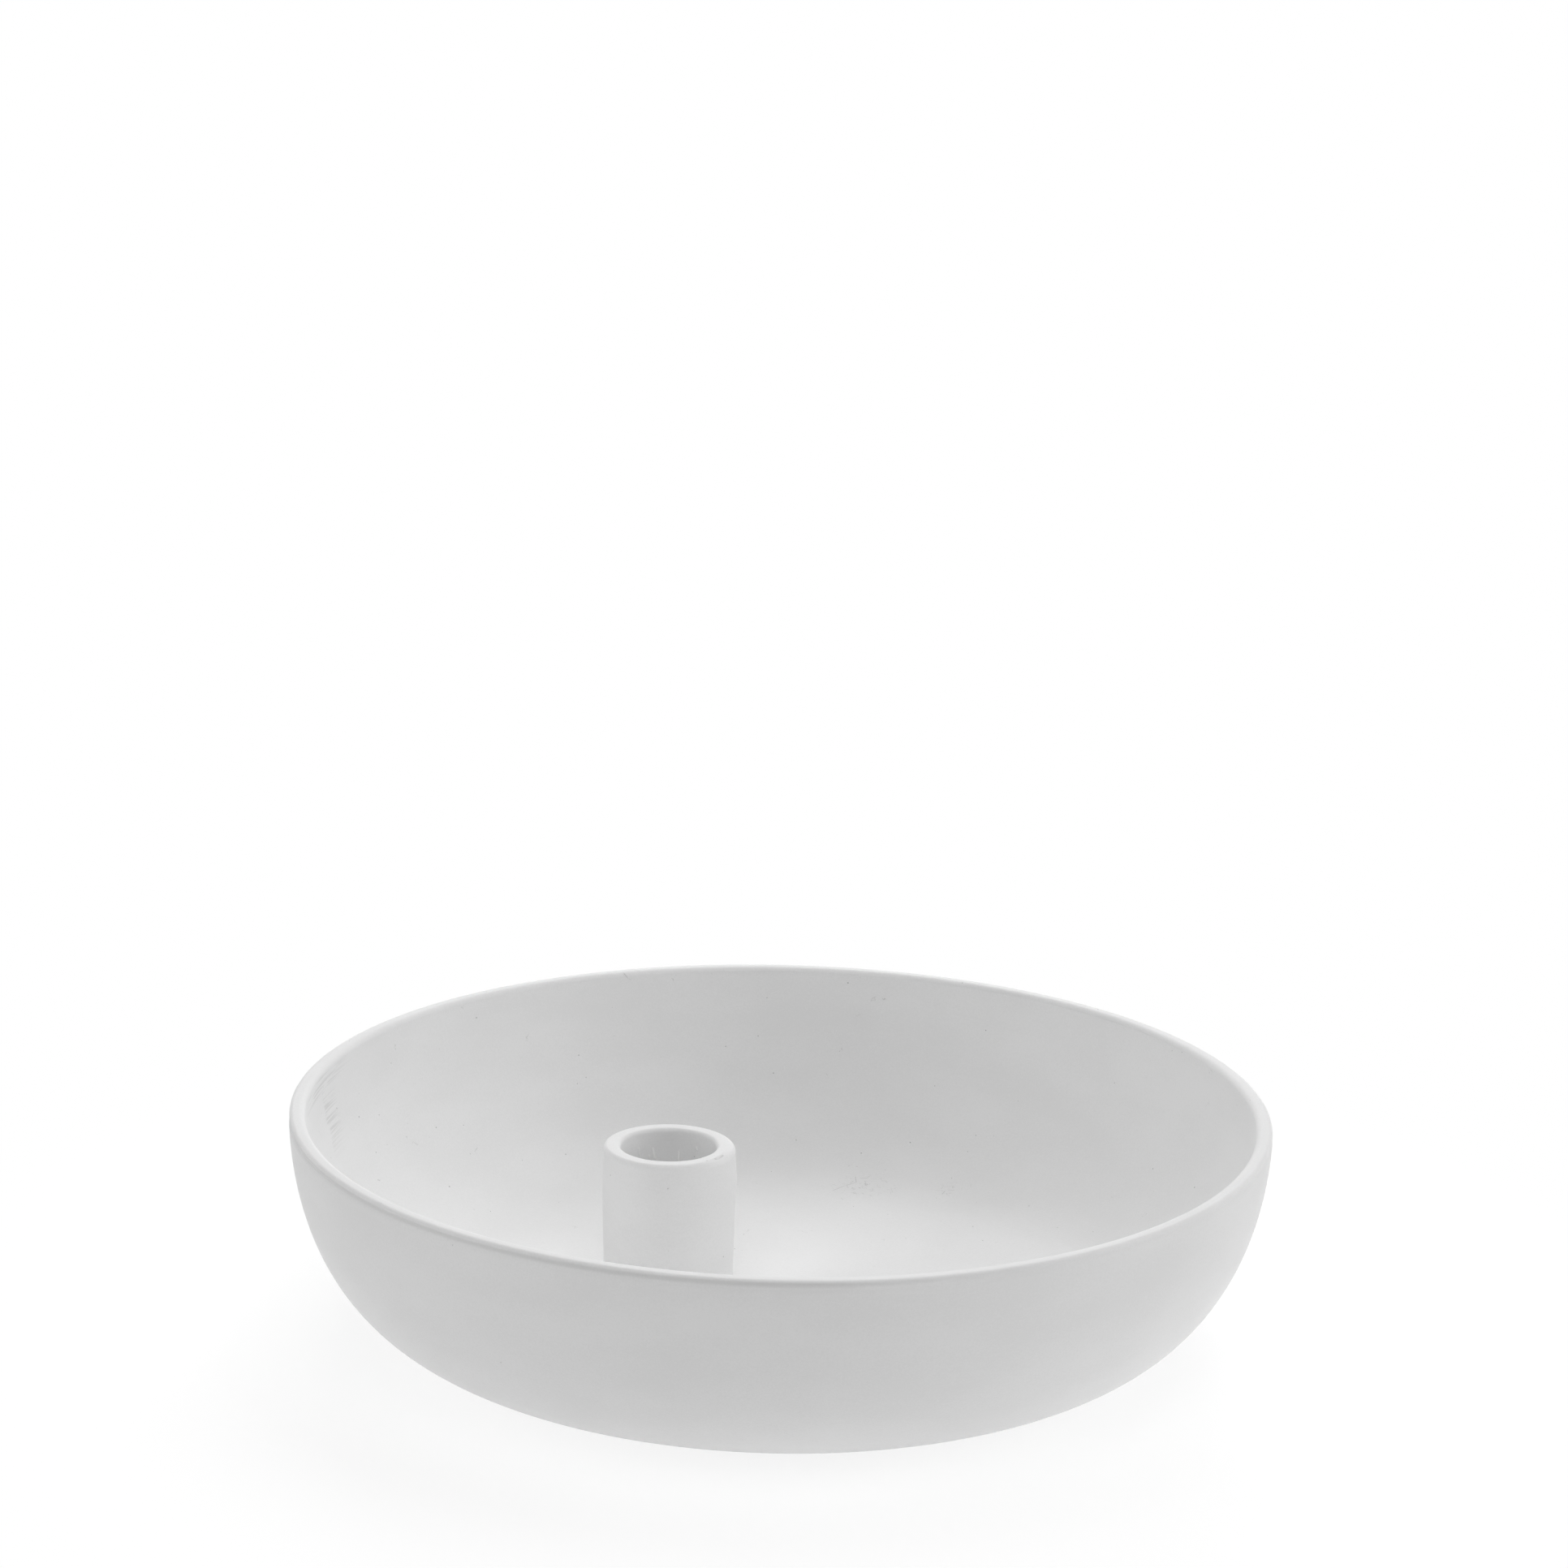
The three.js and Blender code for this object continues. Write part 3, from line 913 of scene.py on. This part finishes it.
def studio_floor(studio):
    """A large table top of white acrylic, with a round panel under the dish lit from below.

    To the eye it is white apart from the dish's soft shadow: near the dish, a share of the
    white is the matt table itself, which the dish shades, and the rest makes it up to one.
    The light that it throws on the dish is the table's own. From below it is clear, so that
    the foot shows.
    """
    half = 4.0
    corners = np.array([[-half, -half, 0], [half, -half, 0], [half, half, 0], [-half, half, 0]])
    floor = new_mesh("floor", corners, [[0, 1, 2, 3]], {})
    material, tree = fresh_material("white acrylic table top")
    place = add_node(tree, "ShaderNodeTexCoord").outputs["Object"]
    distance = add_node(tree, "ShaderNodeVectorMath", {0: place}, operation="LENGTH")
    shadow = times(tree, ramp(tree, distance.outputs["Value"], 0.24, 0.12), studio.shadow_share)
    on_panel = ramp(tree, distance.outputs["Value"], studio.panel_radius * 1.1, studio.panel_radius * 0.9)
    matt = add_node(tree, "ShaderNodeBsdfDiffuse", {"Color": opaque(linear("#FAFAFA"))})
    glow = add_node(tree, "ShaderNodeEmission", {
        "Strength": times(tree, on_panel, studio.table_glow)})
    lit = add_node(tree, "ShaderNodeAddShader", {0: matt.outputs[0], 1: glow.outputs[0]})
    rest = add_node(tree, "ShaderNodeMath", {0: shadow, 1: -studio.table_level, 2: 1.0},
                    operation="MULTIPLY_ADD")
    white = add_node(tree, "ShaderNodeEmission", {"Strength": rest.outputs[0]})
    shaded = add_node(tree, "ShaderNodeMixShader", {"Fac": shadow, 2: matt.outputs[0]})
    shown = add_node(tree, "ShaderNodeAddShader", {0: white.outputs[0], 1: shaded.outputs[0]})
    surface = add_node(tree, "ShaderNodeMixShader", {
        "Fac": seen_directly(tree), 1: lit.outputs[0], 2: shown.outputs[0]})
    from_below = add_node(tree, "ShaderNodeNewGeometry").outputs["Backfacing"]
    clear = add_node(tree, "ShaderNodeBsdfTransparent")
    one_sided = add_node(tree, "ShaderNodeMixShader", {
        "Fac": from_below, 1: surface.outputs[0], 2: clear.outputs[0]})
    add_node(tree, "ShaderNodeOutputMaterial", {"Surface": one_sided.outputs[0]})
    floor.data.materials.append(material)


def studio_room():
    """Plain white all round where the camera or a reflection sees it, and no light of its own."""
    world = bpy.data.worlds.new("studio")
    world.use_nodes = True
    tree = world.node_tree
    tree.nodes.clear()
    shown = add_node(tree, "ShaderNodeBackground", {
        "Color": (1.0, 1.0, 1.0, 1.0), "Strength": seen_directly(tree)})
    add_node(tree, "ShaderNodeOutputWorld", {"Surface": shown.outputs[0]})
    bpy.context.scene.world = world


class CANDLEDISH_OT_stage(bpy.types.Operator):
    """Build the table top, the lamps and the camera"""

    bl_idname = "candledish.stage"
    bl_label = "Build Studio"

    def execute(self, context):
        studio = context.scene.candle_dish_studio
        studio_floor(studio)
        studio_room()
        lamps = (
            ("right softbox", 0, 20, studio.right),
            ("left softbox", 180, 20, studio.left),
            ("front softbox", 270, 20, studio.front),
            ("front top softbox", 270, 60, studio.front_top),
            ("back softbox", 90, 30, studio.back),
            ("back top softbox", 90, 60, studio.back_top),
            ("back right softbox", 45, 60, studio.back_right),
        )
        for name, azimuth, elevation, power in lamps:
            softbox(name, azimuth, elevation, power, studio)
        photo_camera(studio)
        context.scene.view_settings.view_transform = "Standard"
        return {"FINISHED"}


class CANDLEDISH_PT_panel(bpy.types.Panel):
    """Lists the steps that build the dish"""

    bl_label = "Candle Dish"
    bl_space_type = "VIEW_3D"
    bl_region_type = "UI"
    bl_category = "Candle Dish"

    def draw(self, context):
        for operator in OPERATORS:
            self.layout.operator(operator.bl_idname)


OPERATORS = (CANDLEDISH_OT_bowl, CANDLEDISH_OT_socket, CANDLEDISH_OT_stage)
SETTINGS = {
    "candle_dish_bowl": CandleDishBowl,
    "candle_dish_socket": CandleDishSocket,
    "candle_dish_glaze": CandleDishGlaze,
    "candle_dish_studio": CandleDishStudio,
}
CLASSES = (*SETTINGS.values(), *OPERATORS, CANDLEDISH_PT_panel)


def register():
    """Registers the classes and hangs each group of settings on the scene."""
    for cls in CLASSES:
        bpy.utils.register_class(cls)
    for name, group in SETTINGS.items():
        setattr(bpy.types.Scene, name, PointerProperty(type=group))


def unregister():
    """Takes back what register did, in the opposite order."""
    for name in SETTINGS:
        delattr(bpy.types.Scene, name)
    for cls in reversed(CLASSES):
        bpy.utils.unregister_class(cls)


def main():
    """Builds every piece and the studio."""
    register()
    bpy.ops.candledish.bowl()
    bpy.ops.candledish.socket()
    bpy.ops.candledish.stage()


if __name__ == "__main__":
    main()
